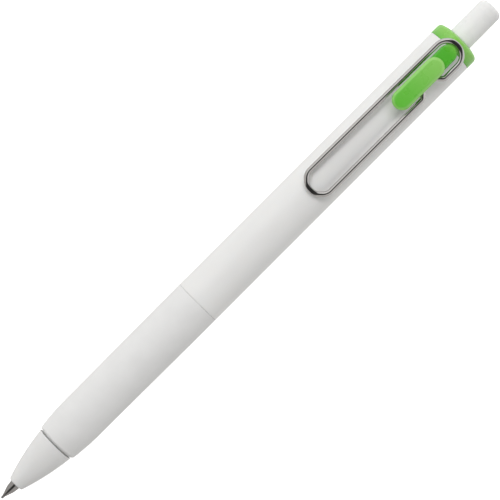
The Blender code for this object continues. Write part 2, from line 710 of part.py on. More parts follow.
def main():
    clear_scene()
    white = material("white_plastic", (0.86, 0.86, 0.86), 0.35)
    grip = material("white_elastomer", (0.82, 0.82, 0.82), 0.6)
    nose = material("nose_plastic", (0.77, 0.77, 0.765), 0.35)
    button = material("button_plastic", (0.9, 0.9, 0.9), 0.3)
    green = material("green_plastic", (0.12, 0.44, 0.05), 0.35)
    light_green = material("light_green_plastic", (0.14, 0.48, 0.08), 0.4)
    natural = material("natural_acetal", (0.78, 0.78, 0.74), 0.45)
    wire = material("clip_steel", (0.72, 0.72, 0.72), 0.15, 1.0)
    spring_steel = material("spring_steel", (0.55, 0.55, 0.56), 0.3, 1.0)
    refill_looks = {
        "tube": material("clear_polypropylene", (0.85, 0.87, 0.86), 0.2, 0.0, 0.4),
        "ink": material("green_ink", (0.03, 0.3, 0.03), 0.3),
        "grease": material("ink_follower", (0.8, 0.78, 0.65), 0.25, 0.0, 0.6),
        "plug": material("refill_acetal", (0.8, 0.8, 0.78), 0.4),
        "tip": material("tip_steel", (0.62, 0.6, 0.57), 0.25, 1.0),
        "ball": material("carbide_ball", (0.35, 0.35, 0.36), 0.2, 1.0),
        "spring": spring_steel,
    }

    button_joint = joint_empty("button_joint", AXIS)
    refill_joint = joint_empty("refill_joint", AXIS)
    rotor_joint = joint_empty("rotor_joint", AXIS)
    pivot = Vector((along(PIVOT_STATION), 0, BARREL_RADIUS + PIVOT_HEIGHT))
    clip_joint = joint_empty("clip_joint", pivot)

    make_barrel(white)
    make_grip_sleeve(grip)
    make_nose_cone(nose)
    make_end_cap(green)
    make_clip_tab(light_green)
    make_cam_sleeve(natural)
    make_return_spring(spring_steel)
    make_clip_wire(wire, clip_joint)
    make_knock_button(button, button_joint)
    make_cam_plunger(natural, button_joint)
    make_cam_rotor(natural, rotor_joint)
    make_refill(refill_looks, refill_joint)


main()
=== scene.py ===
"""Looks of the gel pen: finished meshes, materials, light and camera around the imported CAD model.

The pen lies along X with its tip at -X and its clip on top. Shapes are worked out in
millimetres from the CAD nodes' boxes and become metres where a mesh is made. A station is the
distance from the writing tip along the pen's axis, and a height is above that axis.
"""

import json
import math

import bmesh
import bpy
from mathutils import Matrix, Vector


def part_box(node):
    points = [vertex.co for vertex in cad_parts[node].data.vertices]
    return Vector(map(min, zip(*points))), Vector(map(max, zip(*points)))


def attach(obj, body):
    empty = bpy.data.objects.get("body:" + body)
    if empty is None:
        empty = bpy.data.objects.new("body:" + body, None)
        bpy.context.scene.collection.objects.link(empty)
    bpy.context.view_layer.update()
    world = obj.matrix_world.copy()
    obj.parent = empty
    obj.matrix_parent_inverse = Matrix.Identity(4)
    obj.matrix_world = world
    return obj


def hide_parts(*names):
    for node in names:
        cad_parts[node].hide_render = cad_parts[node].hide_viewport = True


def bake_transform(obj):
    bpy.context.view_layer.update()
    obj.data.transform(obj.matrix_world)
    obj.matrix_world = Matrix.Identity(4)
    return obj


MM = 0.001

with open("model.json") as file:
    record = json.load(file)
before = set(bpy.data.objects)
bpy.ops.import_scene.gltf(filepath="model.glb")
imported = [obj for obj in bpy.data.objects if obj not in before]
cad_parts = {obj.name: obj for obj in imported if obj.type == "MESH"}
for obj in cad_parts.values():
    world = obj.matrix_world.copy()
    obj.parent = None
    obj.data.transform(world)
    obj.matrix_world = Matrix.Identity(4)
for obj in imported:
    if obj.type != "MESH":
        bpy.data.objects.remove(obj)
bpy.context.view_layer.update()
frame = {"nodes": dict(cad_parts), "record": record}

TIP_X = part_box("tip_ball")[0].x
AXIS_Z = (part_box("barrel")[0].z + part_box("barrel")[1].z) / 2


def span(node):
    """First and last station of a CAD node, in millimetres."""
    low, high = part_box(node)
    return (low.x - TIP_X) / MM, (high.x - TIP_X) / MM


def radius_of(node):
    """Half a CAD node's width, in millimetres."""
    low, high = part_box(node)
    return (high.y - low.y) / 2 / MM


def top_of(node):
    """A CAD node's highest point above the pen's axis, in millimetres."""
    return (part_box(node)[1].z - AXIS_Z) / MM


NOSE_START, SPIGOT_END = span("nose_cone")
GRIP_START, GRIP_END = span("grip_sleeve")
BARREL_START, BARREL_END = span("barrel")
# The end cap's box begins at its boss, so the spigot that starts here is 10.6 mm longer than the
# CAD's and runs through the cam sleeve; this is a defect
CAP_START, COLLAR_END = span("end_cap")
TAB_FRONT, TAB_REAR = span("clip_tab")
BUTTON_START, PEN_END = span("knock_button")
SPRING_START, SPRING_END = span("return_spring")
BARREL_RADIUS = radius_of("barrel")
BUTTON_RADIUS = radius_of("knock_button")
TAB_HALF_WIDTH = radius_of("clip_tab")
TAB_TOP = top_of("clip_tab")

# Fits, as on the CAD model
FIT = 0.1
SEAM = 0.15

# Seams, edges and cuts of the finished model only
TIGHT_SEAM = 0.03
EDGE_ROUND = 0.08
EDGE_STEPS = 5
EDGE_MARGIN = 1.0  # how far from a rounded edge the evenly spaced rings start
CUT_PAST = 1.0  # how far a cutting solid runs past what it cuts

# Nose cone: its outside is a parabola, and a screw thread holds it
NOSE_END = 15.6
NOSE_MOUTH_RADIUS = 1.7
NOSE_SLOPE = 0.327
NOSE_CURVE = 0.0093
NOSE_MOUTH_ROUND = 0.28
NOSE_MOUTH_TURN = 108  # where the mouth's round meets the cone, in degrees
NOSE_CONE_START = 0.42  # behind the mouth
NOSE_REAR_BEVEL = 0.06
NOSE_MOUTH_LIFT = 0.06  # how far the mouth's round reaches beyond the mouth's radius
TIP_BORE_RADIUS = 1.27
TIP_BORE_CHAMFER = (0.12, 0.1)  # along the pen and outwards
HOLDER_POCKET_START = 7.2
HOLDER_POCKET_RADIUS = 1.75
HOLDER_POCKET_TAPER = 0.4
SPRING_SEAT = 9.3
SPRING_BORE_RADIUS = 2.45
TUBE_BORE_START = 13.6
TUBE_BORE_RADIUS = 2.75
TUBE_BORE_TAPER = 0.3
THREAD_START = 16.6
THREAD_PITCH = 1.2
THREAD_TURNS = 3.5
THREAD_DEPTH = 0.22
THREAD_ROOT_RADIUS = 3.12
THREAD_ROWS_PER_TURN = 12
THREAD_RELIEF = (0.6, 0.8)  # behind the spigot: the threaded bore's end, the plain bore's start

# Grip sleeve and the barrel's neck below it
GRIP_EDGE_RADIUS = 4.28
GRIP_FRONT_RADIUS = 4.56
GRIP_FRONT_CHAMFER = 0.35
GRIP_EDGE_BEVEL = (0.05, 0.08)  # along the pen and inwards
GRIP_SHOULDER_END = 23.5
GRIP_SHOULDER_RADIUS = 5.06
GRIP_FULL_STATION = 50.0
NECK_RADIUS = 4.1
FRONT_BORE_RADIUS = 3.1
REAR_BORE_RADIUS = 4.2
BORE_STEP = 60.0
BORE_STEP_LENGTH = 4.0

# End cap
COLLAR_START = BARREL_END + SEAM
SHELL_END = COLLAR_START - TIGHT_SEAM
COLLAR_ROUND = 0.95
COLLAR_DOME = 0.25
COLLAR_LIP = 1.3
CAP_CAVITY_RADIUS = 3.6
BUTTON_HOLE_RADIUS = 2.85
BUTTON_HOLE_ROUND = 0.2
COLLAR_FACE = (0.03, 0.9)  # the nearly flat face round the hole: how far it falls, and its width
BOSS_FRONT = 116.3
BOSS_REAR = 129.7
BOSS_HALF_WIDTH = 1.87
BOSS_BASE = 4.6
BOSS_TOP = 7.7
BOSS_ROUND = 0.4
SADDLE_RADIUS = 5.3

# Clip tab
TAB_BASE = 7.85
TAB_ROUND = 0.2
TAB_RIM_DROP = 0.28
TAB_CROWN = ((0.1, 0.42), (0.03, 0.54), (0, 0.68))  # depths below the top, and insets
PEG_STATIONS = (120.6, 124.6)
PEG_RADIUS = 0.5
PEG_DEPTH = 1.1
PEG_ROOM = 0.2  # left below each peg
PEG_ROOT = 0.5  # how far each peg goes up into the tab

# Wire clip
WIRE_RADIUS = 0.575
CLIP_FRONT_SIDES = (-2.96, 3.05)  # Y of the two runs; the loop sits a little askew
CLIP_REAR_SIDES = (-3.1, 2.8)
CLIP_FRONT_SLANT = 1.8  # each front corner is a straight cut at 45 degrees
CLIP_CORNER_RADIUS = 2.4
LEG_CORNERS = (117.75, 123.85)  # where the -Y run turns in towards the boss
LEG_LENGTH = 1.8
LEG_BEND_RADIUS = 0.7
LEG_ROOM = 0.3
LEG_END_ROOM = 0.25
PIVOT_STATION = 120.6
PIVOT_HEIGHT = 6.85
FRONT_WIRE_HEIGHT = 5.8

# Push button
BUTTON_ROUND = 1.2
BUTTON_START_BEVEL = 0.1
BUTTON_BORE_RADIUS = 2.1
BUTTON_BORE_END = 134.0

# Refill tip and springs
TIP_RADIUS = radius_of("refill_tip")
TIP_SHOULDER = 8.8
TIP_STEM_RADIUS = 0.9
TIP_STEM_END = 13.8
TIP_RIM = 0.13  # where the ball's pocket ends in front
TIP_SHANK_START = 4.0
BALL_GAP = 0.02
TIP_SHOULDER_ROUND = 0.15
TIP_HOLLOW_RADIUS = 0.6
TIP_HOLLOW_START = 2.0
TIP_CHANNEL = (0.5, 1.5)  # the narrow ink channel's first and last station
BALL_SEAT = 0.45
# Stations and radii of the turned cone, from the ball's rim to the shank
TIP_CONE = (
    (0.11, 0.245), (0.13, 0.262), (0.68, 0.30), (0.74, 0.325), (2.6, 0.965), (2.72, 0.995),
    (3.9, 1.15),
)
BALL_RADIUS = radius_of("tip_ball")
SPRING_RADIUS = 2.0
SPRING_WIRE_RADIUS = 0.18
SPRING_ACTIVE_TURNS = 7
SPRING_CLOSED_PITCH = SPRING_WIRE_RADIUS * 2.2  # in the closed turn at each end

SHELL_COLUMNS = 144
SMALL_COLUMNS = 96
BALL_COLUMNS = 48
CLIP_WIRE_SIDES = 40
SPRING_WIRE_SIDES = 14
SPRING_STEPS_PER_TURN = 40


# ---------------------------------------------------------------- mesh helpers


def along(station):
    """X of a station, in metres."""
    return TIP_X + station * MM


def point(station, radius, angle):
    """A point round the pen's axis; the angle turns from +Y towards +Z."""
    across = radius * MM * math.cos(angle)
    return Vector((along(station), across, AXIS_Z + radius * MM * math.sin(angle)))


def spot(station, y, height):
    """A point by station, Y and height above the axis."""
    return Vector((along(station), y * MM, AXIS_Z + height * MM))


def circle(station, radius, columns):
    """A ring round the pen's axis, or the one point on it when the radius is 0."""
    if radius == 0:
        return [point(station, 0, 0)]
    return [point(station, radius, 2 * math.pi * k / columns) for k in range(columns)]


def skin(rings, wrap):
    """Vertices and faces through a row of rings; a ring of one point closes an end."""
    vertices, spans, faces = [], [], []
    for ring in rings:
        spans.append(range(len(vertices), len(vertices) + len(ring)))
        vertices += ring
    pairs = list(zip(spans, spans[1:]))
    if wrap:
        pairs.append((spans[-1], spans[0]))
    for first, second in pairs:
        for k in range(max(len(first), len(second))):
            near, near_next = first[k % len(first)], first[(k + 1) % len(first)]
            far, far_next = second[k % len(second)], second[(k + 1) % len(second)]
            faces.append(tuple(dict.fromkeys((near, near_next, far_next, far))))
    return vertices, faces


def add(name, surface, look, sharp_deg=35):
    """A finished piece from vertices in metres, smooth but for its real edges."""
    vertices, faces = surface
    mesh = bpy.data.meshes.new(name)
    mesh.from_pydata(vertices, [], faces)
    edit = bmesh.new()
    edit.from_mesh(mesh)
    bmesh.ops.recalc_face_normals(edit, faces=edit.faces)
    edit.to_mesh(mesh)
    edit.free()
    mesh.shade_smooth()
    mesh.set_sharp_from_angle(angle=math.radians(sharp_deg))
    made = bpy.data.objects.new(name, mesh)
    bpy.context.scene.collection.objects.link(made)
    if look:
        mesh.materials.append(look)
    return made


def turned(outline, columns, wrap):
    """A surface of revolution from stations and radii; wrap joins the last ring to the first."""
    return skin([circle(s, r, columns) for s, r in outline], wrap)


def arc(centre, radius, start_deg, end_deg, steps):
    """Points of an arc in the station and radius plane; 0 degrees points to the rear."""
    turns = [math.radians(start_deg + (end_deg - start_deg) * k / steps) for k in range(steps + 1)]
    return [(centre[0] + radius * math.cos(t), centre[1] + radius * math.sin(t)) for t in turns]


def between(start, end, count):
    """Evenly spaced values from start to end, in count steps."""
    return [start + (end - start) * k / count for k in range(count + 1)]


def combine(target, others, operation):
    """Booleans other solids into a piece, and takes them away afterwards."""
    for other in others:
        step = target.modifiers.new(operation.lower(), "BOOLEAN")
        step.operation = operation
        step.solver = "EXACT"
        step.object = other
    settle(target)
    for other in others:
        bpy.data.objects.remove(other, do_unlink=True)


def settle(piece, sharp_deg=35):
    """Applies a piece's modifiers to its mesh."""
    graph = bpy.context.evaluated_depsgraph_get()
    mesh = bpy.data.meshes.new_from_object(piece.evaluated_get(graph))
    piece.modifiers.clear()
    piece.data = mesh
    mesh.shade_smooth()
    mesh.set_sharp_from_angle(angle=math.radians(sharp_deg))


# ------------------------------------------------------------------- materials


class Look:
    """Builds one procedural material node by node."""

    def __init__(self, name, roughness, metallic=0.0):
        self.material = bpy.data.materials.new(name)
        self.material.use_nodes = True
        self.tree = self.material.node_tree
        self.shader = self.tree.nodes["Principled BSDF"]
        self.set("Roughness", roughness)
        self.set("Metallic", metallic)
        self.place = self.tree.nodes.new("ShaderNodeTexCoord").outputs["Object"]

    def set(self, socket, value):
        self.shader.inputs[socket].default_value = value

    def link(self, source, socket):
        self.tree.links.new(source, self.shader.inputs[socket])

    def scaled(self, scale):
        """Object coordinates scaled along X, Y and Z."""
        node = self.tree.nodes.new("ShaderNodeMapping")
        node.inputs["Scale"].default_value = scale
        self.tree.links.new(self.place, node.inputs["Vector"])
        return node.outputs["Vector"]

    def noise(self, size, detail=3.0, stretch=(1, 1, 1)):
        """Noise whose features are about one size across, in metres."""
        node = self.tree.nodes.new("ShaderNodeTexNoise")
        node.inputs["Scale"].default_value = 1.0
        node.inputs["Detail"].default_value = detail
        source = self.scaled([1 / size / s for s in stretch])
        self.tree.links.new(source, node.inputs["Vector"])
        return node.outputs["Fac"]

    def ramp(self, source, low, high, start=0.35, end=0.65):
        """Turns a noise into a value between low and high."""
        node = self.tree.nodes.new("ShaderNodeMapRange")
        node.inputs["From Min"].default_value = start
        node.inputs["From Max"].default_value = end
        node.inputs["To Min"].default_value = low
        node.inputs["To Max"].default_value = high
        self.tree.links.new(source, node.inputs["Value"])
        return node.outputs["Result"]

    def tint(self, source, first, second):
        """Colour between two shades, driven by a noise."""
        node = self.tree.nodes.new("ShaderNodeMix")
        node.data_type = "RGBA"
        node.inputs["A"].default_value = (*first, 1)
        node.inputs["B"].default_value = (*second, 1)
        self.tree.links.new(self.ramp(source, 0, 1), node.inputs["Factor"])
        self.tree.links.new(node.outputs["Result"], self.shader.inputs["Base Color"])

    def blend(self, share, shade):
        """Blends the base colour made so far towards another shade, by a share from 0 to 1."""
        node = self.tree.nodes.new("ShaderNodeMix")
        node.data_type = "RGBA"
        colour = self.shader.inputs["Base Color"]
        self.tree.links.new(share, node.inputs["Factor"])
        self.tree.links.new(colour.links[0].from_socket, node.inputs["A"])
        node.inputs["B"].default_value = (*shade, 1)
        self.tree.links.new(node.outputs["Result"], colour)

    def eased(self, source, start, end, most=1.0):
        """Rises smoothly from 0 to a share as a value passes from start to end."""
        node = self.tree.nodes.new("ShaderNodeMapRange")
        node.interpolation_type = "SMOOTHSTEP"
        node.inputs["From Min"].default_value = start
        node.inputs["From Max"].default_value = end
        node.inputs["To Max"].default_value = most
        self.tree.links.new(source, node.inputs["Value"])
        return node.outputs["Result"]

    def coordinate(self, axis):
        """A place's X, Y or Z on the piece, in metres."""
        node = self.tree.nodes.new("ShaderNodeSeparateXYZ")
        self.tree.links.new(self.place, node.inputs["Vector"])
        return node.outputs[axis]

    def from_spine(self, start, end):
        """Distance in plan from a line along X between two X positions, in metres."""
        ahead = self.coordinate("X")
        nearest = self.tree.nodes.new("ShaderNodeClamp")
        nearest.inputs["Min"].default_value = start
        nearest.inputs["Max"].default_value = end
        self.tree.links.new(ahead, nearest.inputs["Value"])
        beyond = self.tree.nodes.new("ShaderNodeMath")
        beyond.operation = "SUBTRACT"
        self.tree.links.new(ahead, beyond.inputs[0])
        self.tree.links.new(nearest.outputs["Result"], beyond.inputs[1])
        offset = self.tree.nodes.new("ShaderNodeCombineXYZ")
        self.tree.links.new(beyond.outputs["Value"], offset.inputs["X"])
        self.tree.links.new(self.coordinate("Y"), offset.inputs["Y"])
        length = self.tree.nodes.new("ShaderNodeVectorMath")
        length.operation = "LENGTH"
        self.tree.links.new(offset.outputs["Vector"], length.inputs[0])
        return length.outputs["Value"]

    def bump(self, source, depth, previous=None):
        """Bump from a noise, depth in metres; several can follow one another."""
        node = self.tree.nodes.new("ShaderNodeBump")
        node.inputs["Strength"].default_value = 1.0
        node.inputs["Distance"].default_value = depth
        self.tree.links.new(source, node.inputs["Height"])
        if previous:
            self.tree.links.new(previous, node.inputs["Normal"])
        self.tree.links.new(node.outputs["Normal"], self.shader.inputs["Normal"])
        return node.outputs["Normal"]


def moulded_look(name, shade, roughness, subsurface=0.0, ior=1.4):
    """Injection-moulded plastic: a faint orange peel, cloudy gloss and slight flow marks."""
    look = Look(name, roughness)
    darker = [c * 0.965 for c in shade]
    look.tint(look.noise(6 * MM, 2.0, (3, 1, 1)), darker, shade)
    look.link(look.ramp(look.noise(2.5 * MM, 3.0), roughness - 0.05, roughness + 0.07), "Roughness")
    peel = look.bump(look.noise(0.55 * MM, 2.0), 0.0012 * MM)
    look.bump(look.noise(0.09 * MM, 2.0), 0.0006 * MM, peel)
    look.set("IOR", ior)
    look.set("Subsurface Weight", subsurface)
    look.set("Subsurface Radius", (0.6, 0.5, 0.4))
    look.set("Subsurface Scale", MM)
    return look


def moulded_plastic(*settings):
    """The finished material of a moulded look that takes no further colours."""
    return moulded_look(*settings).material


# Painted sheen on the greens: stations along the pen where they turn paler, and depths inside the
# tab's rim for its painted highlight
COLLAR_PAINTED_SHEEN = (127.5, 131.5)
TAB_PAINTED_SHEEN = (113.0, 127.5)
TAB_RIM_HIGHLIGHT_DEPTHS = (0.7, 0.25)
TAB_RIM_HIGHLIGHT_SHARE = 0.5


def collar_green_painted_sheen():
    """The cap's deep green, paler round the collar by a painted sheen, the same on every side."""
    look = moulded_look("green_plastic", (0.085, 0.46, 0.03), 0.28, 0.0, 1.6)
    start, end = COLLAR_PAINTED_SHEEN
    # Painted sheen: the green turns paler towards the collar, standing in for the light it reflects
    share = look.eased(look.coordinate("X"), along(start), along(end))
    look.blend(share, (0.24, 0.58, 0.095))
    return look.material


def tab_green_painted_sheen():
    """The pad's lighter green, with a painted sheen paler towards its rear and a painted highlight
    round its rim.
    """
    look = moulded_look("light_green_plastic", (0.13, 0.54, 0.05), 0.3, 0.0, 1.55)
    # Painted sheen: the green turns paler towards the tab's rear
    start, end = TAB_PAINTED_SHEEN
    share = look.eased(look.coordinate("X"), along(start), along(end))
    look.blend(share, (0.27, 0.62, 0.13))
    # Painted highlight: a paler green round the tab's rim, where its chamfer catches the light
    edge = look.from_spine(along(TAB_FRONT + TAB_HALF_WIDTH), along(TAB_REAR - TAB_HALF_WIDTH))
    inner, outer = [(TAB_HALF_WIDTH - depth) * MM for depth in TAB_RIM_HIGHLIGHT_DEPTHS]
    rim = look.eased(edge, inner, outer, TAB_RIM_HIGHLIGHT_SHARE)
    look.blend(rim, (0.36, 0.68, 0.20))
    return look.material


def elastomer(name, shade):
    """Soft-touch sleeve: matte, with a fine spark-eroded grain."""
    look = Look(name, 0.62)
    darker = [c * 0.97 for c in shade]
    look.tint(look.noise(4 * MM, 3.0), darker, shade)
    look.link(look.ramp(look.noise(1.2 * MM, 4.0), 0.56, 0.70), "Roughness")
    grain = look.bump(look.noise(0.16 * MM, 3.0), 0.006 * MM)
    look.bump(look.noise(0.05 * MM, 2.0), 0.002 * MM, grain)
    look.set("IOR", 1.35)
    return look.material


def drawn_steel(name, shade, roughness, lengthwise=60):
    """Bright drawn wire: fine scratches along its length."""
    look = Look(name, roughness, 1.0)
    brighter = [min(1.0, c * 1.06) for c in shade]
    look.tint(look.noise(0.5 * MM, 3.0, (8, 1, 1)), shade, brighter)
    scratch = look.noise(0.05 * MM, 3.0, (lengthwise, 1, 1))
    look.link(look.ramp(scratch, roughness - 0.04, roughness + 0.06), "Roughness")
    look.bump(scratch, 0.0008 * MM)
    return look.material


def turned_steel(name, shade, roughness):
    """Lathe-turned steel: fine rings round the axis."""
    look = Look(name, roughness, 1.0)
    brighter = [min(1.0, c * 1.08) for c in shade]
    rings = look.noise(0.035 * MM, 2.0, (1, 400, 400))
    look.tint(rings, shade, brighter)
    look.link(look.ramp(rings, roughness - 0.05, roughness + 0.08), "Roughness")
    look.bump(rings, 0.0015 * MM)
    return look.material


def clear_gel(name, shade, roughness, transmission):
    """A translucent plastic or liquid with faint streaks."""
    look = Look(name, roughness)
    look.tint(look.noise(1.5 * MM, 3.0, (6, 1, 1)), [c * 0.94 for c in shade], shade)
    look.link(look.ramp(look.noise(0.8 * MM, 3.0), roughness - 0.04, roughness + 0.06), "Roughness")
    look.bump(look.noise(0.4 * MM, 2.0), 0.001 * MM)
    look.set("Transmission Weight", transmission)
    look.set("IOR", 1.49)
    return look.material


WHITE = (0.83, 0.83, 0.822)
LOOKS = {
    "white_plastic": moulded_plastic("white_plastic", WHITE, 0.33, 0.08),
    "nose_plastic": moulded_plastic("nose_plastic", (0.79, 0.79, 0.785), 0.33, 0.08),
    "button_plastic": moulded_plastic("button_plastic", (0.835, 0.835, 0.828), 0.26, 0.08),
    "white_elastomer": elastomer("white_elastomer", (0.79, 0.79, 0.786)),
    "green_plastic": collar_green_painted_sheen(),
    "light_green_plastic": tab_green_painted_sheen(),
    "natural_acetal": moulded_plastic("natural_acetal", (0.76, 0.76, 0.72), 0.42, 0.05),
    "clip_steel": drawn_steel("clip_steel", (0.52, 0.505, 0.495), 0.1),
    "spring_steel": drawn_steel("spring_steel", (0.55, 0.55, 0.56), 0.26, 4),
    "clear_polypropylene": clear_gel("clear_polypropylene", (0.88, 0.90, 0.89), 0.22, 0.75),
    "green_ink": moulded_plastic("green_ink", (0.02, 0.26, 0.02), 0.16),
    "ink_follower": clear_gel("ink_follower", (0.82, 0.80, 0.68), 0.18, 0.6),
    "refill_acetal": moulded_plastic("refill_acetal", (0.80, 0.80, 0.77), 0.4, 0.05),
    "tip_steel": turned_steel("tip_steel", (0.34, 0.33, 0.325), 0.15),
    "carbide_ball": drawn_steel("carbide_ball", (0.36, 0.36, 0.37), 0.18, 1),
}


def finish_piece(piece, body, slot, *nodes):
    """A piece rides on its body and stands for its CAD nodes, which it hides; its slot is not used.
    """
    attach(piece, body)
    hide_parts(*nodes)


# ---------------------------------------------------------------------- shells


def thread_height(station, angle):
    """How far a screw thread stands out at one place, 0 to THREAD_DEPTH."""
    turns = (station - THREAD_START) / THREAD_PITCH
    phase = (turns - angle / (2 * math.pi)) % 1.0
    rise = 2.0 - 4.0 * abs(phase - 0.5)
    fade = min(1.0, max(0.0, 2 * min(turns, THREAD_TURNS - turns)))
    return THREAD_DEPTH * min(1.0, max(0.0, rise - 0.5)) * fade


def thread_rings(root_radius):
    """Rings of the screw thread, front to rear, on a root radius."""
    rings = []
    rows = int(THREAD_TURNS * THREAD_ROWS_PER_TURN)
    for station in between(THREAD_START, THREAD_START + THREAD_TURNS * THREAD_PITCH, rows):
        turns = [2 * math.pi * k / SHELL_COLUMNS for k in range(SHELL_COLUMNS)]
        rings.append([point(station, root_radius + thread_height(station, t), t) for t in turns])
    return rings


def nose_radius(station):
    """The cone's outer radius: a parabola."""
    t = station - NOSE_START
    return NOSE_MOUTH_RADIUS + NOSE_SLOPE * t - NOSE_CURVE * t * t


def grip_radius(station):
    """The sleeve's outer radius: a curved shoulder, then a slow taper up to the barrel's."""
    if station < GRIP_SHOULDER_END:
        first = GRIP_START + GRIP_FRONT_CHAMFER
        share = (GRIP_SHOULDER_END - station) / (GRIP_SHOULDER_END - first)
        return GRIP_SHOULDER_RADIUS - (GRIP_SHOULDER_RADIUS - GRIP_FRONT_RADIUS) * share**2
    share = (station - GRIP_SHOULDER_END) / (GRIP_FULL_STATION - GRIP_SHOULDER_END)
    return GRIP_SHOULDER_RADIUS + (BARREL_RADIUS - GRIP_SHOULDER_RADIUS) * min(1.0, share)


def front_edge(station):
    """The rounded front edge of a shell as wide as the barrel."""
    centre = (station + EDGE_ROUND, BARREL_RADIUS - EDGE_ROUND)
    return arc(centre, EDGE_ROUND, 180, 90, EDGE_STEPS)


def rear_edge(station):
    """The rounded rear edge of a shell as wide as the barrel."""
    centre = (station - EDGE_ROUND, BARREL_RADIUS - EDGE_ROUND)
    return arc(centre, EDGE_ROUND, 90, 0, EDGE_STEPS)


def make_barrel():
    """The long shell, with a rounded edge at each seam."""
    female_root = THREAD_ROOT_RADIUS + FIT
    step = GRIP_END + TIGHT_SEAM
    stations = between(step + EDGE_MARGIN, SHELL_END - EDGE_MARGIN, 24)
    outside = [(BARREL_START, NECK_RADIUS), (step, NECK_RADIUS)] + front_edge(step)
    outside += [(s, BARREL_RADIUS) for s in stations] + rear_edge(SHELL_END)
    thread_end, plain_start = [SPIGOT_END + further for further in THREAD_RELIEF]
    inside = [
        (SHELL_END, REAR_BORE_RADIUS), (BORE_STEP + BORE_STEP_LENGTH, REAR_BORE_RADIUS),
        (BORE_STEP, FRONT_BORE_RADIUS), (plain_start, FRONT_BORE_RADIUS),
        (thread_end, female_root),
    ]
    rings = [circle(s, r, SHELL_COLUMNS) for s, r in outside + inside]
    rings += reversed(thread_rings(female_root))
    rings.append(circle(BARREL_START, female_root + THREAD_DEPTH, SHELL_COLUMNS))
    piece = add("barrel_shell", skin(rings, True), LOOKS["white_plastic"])
    finish_piece(piece, "barrel", "white_plastic", "barrel")


def make_grip():
    """The soft sleeve, with a rounded front shoulder."""
    bore = NECK_RADIUS + FIT
    first = GRIP_START + GRIP_FRONT_CHAMFER
    shoulder = [(s, grip_radius(s)) for s in between(first, GRIP_SHOULDER_END, 28)]
    back, inwards = GRIP_EDGE_BEVEL
    bevel = [(GRIP_START, GRIP_EDGE_RADIUS - inwards), (GRIP_START + back, GRIP_EDGE_RADIUS)]
    stations = between(GRIP_SHOULDER_END + EDGE_MARGIN, GRIP_END - EDGE_MARGIN, 16)
    middle = [(s, grip_radius(s)) for s in stations]
    outline = [(GRIP_START, bore)] + bevel + shoulder + middle
    outline += rear_edge(GRIP_END) + [(GRIP_END, bore)]
    piece = add("grip", turned(outline, SHELL_COLUMNS, True), LOOKS["white_elastomer"])
    finish_piece(piece, "barrel", "white_elastomer", "grip_sleeve")


def make_nose():
    """The cone, with a rounded mouth, a crisp rear edge and its threaded spigot."""
    lift = NOSE_MOUTH_LIFT
    centre = (NOSE_START + NOSE_MOUTH_ROUND, NOSE_MOUTH_RADIUS - NOSE_MOUTH_ROUND + lift)
    mouth = arc(centre, NOSE_MOUTH_ROUND, 180, NOSE_MOUTH_TURN, 7)
    stations = between(NOSE_START + NOSE_CONE_START, NOSE_END - NOSE_REAR_BEVEL, 32)
    cone = [(s, nose_radius(s)) for s in stations]
    rear = [(NOSE_END, nose_radius(NOSE_END) - NOSE_REAR_BEVEL), (NOSE_END, THREAD_ROOT_RADIUS)]
    inwards, outwards = TIP_BORE_CHAMFER
    lip = [(NOSE_START + inwards, TIP_BORE_RADIUS), (NOSE_START, TIP_BORE_RADIUS + outwards)]
    behind = [
        (SPIGOT_END, THREAD_ROOT_RADIUS), (SPIGOT_END, TUBE_BORE_RADIUS),
        (TUBE_BORE_START, TUBE_BORE_RADIUS), (TUBE_BORE_START - TUBE_BORE_TAPER, SPRING_BORE_RADIUS),
        (SPRING_SEAT, SPRING_BORE_RADIUS), (SPRING_SEAT, HOLDER_POCKET_RADIUS),
        (HOLDER_POCKET_START + HOLDER_POCKET_TAPER, HOLDER_POCKET_RADIUS),
        (HOLDER_POCKET_START, TIP_BORE_RADIUS),
    ]
    rings = [circle(s, r, SHELL_COLUMNS) for s, r in lip + mouth + cone + rear]
    rings += thread_rings(THREAD_ROOT_RADIUS)
    rings += [circle(s, r, SHELL_COLUMNS) for s, r in behind]
    piece = add("nose", skin(rings, True), LOOKS["nose_plastic"])
    finish_piece(piece, "barrel", "nose_plastic", "nose_cone")


# ------------------------------------------------------------ end cap and clip


def stadium(front, rear, half_width, height, inset, steps=28):
    """A flat outline with two round ends, at one height above the pen's axis."""
    radius = half_width - inset
    ring = []
    for centre, first in ((rear - half_width, -90), (front + half_width, 90)):
        for k in range(steps + 1):
            angle = math.radians(first + 180 * k / steps)
            ring.append(spot(centre + radius * math.cos(angle), radius * math.sin(angle), height))
    return ring


def stadium_block(front, rear, half_width, levels):
    """A closed block through stadium outlines, from heights and insets."""
    rings = [stadium(front, rear, half_width, height, inset) for height, inset in levels]
    low = spot((front + rear) / 2, 0, levels[0][0])
    high = spot((front + rear) / 2, 0, levels[-1][0])
    return skin([[low]] + rings + [[high]], False)


def lower_edge(base, rounding, steps=6):
    """Heights and insets that round a block's lower edge."""
    turns = [math.radians(90 * k / steps) for k in range(steps + 1)]
    return [(base + rounding * (1 - math.cos(t)), rounding * (1 - math.sin(t))) for t in turns]


def upper_edge(top, rounding, steps=6):
    """Heights and insets that round a block's upper edge."""
    turns = [math.radians(90 * k / steps) for k in range(steps + 1)]
    return [(top - rounding * (1 - math.sin(t)), rounding * (1 - math.cos(t))) for t in turns]


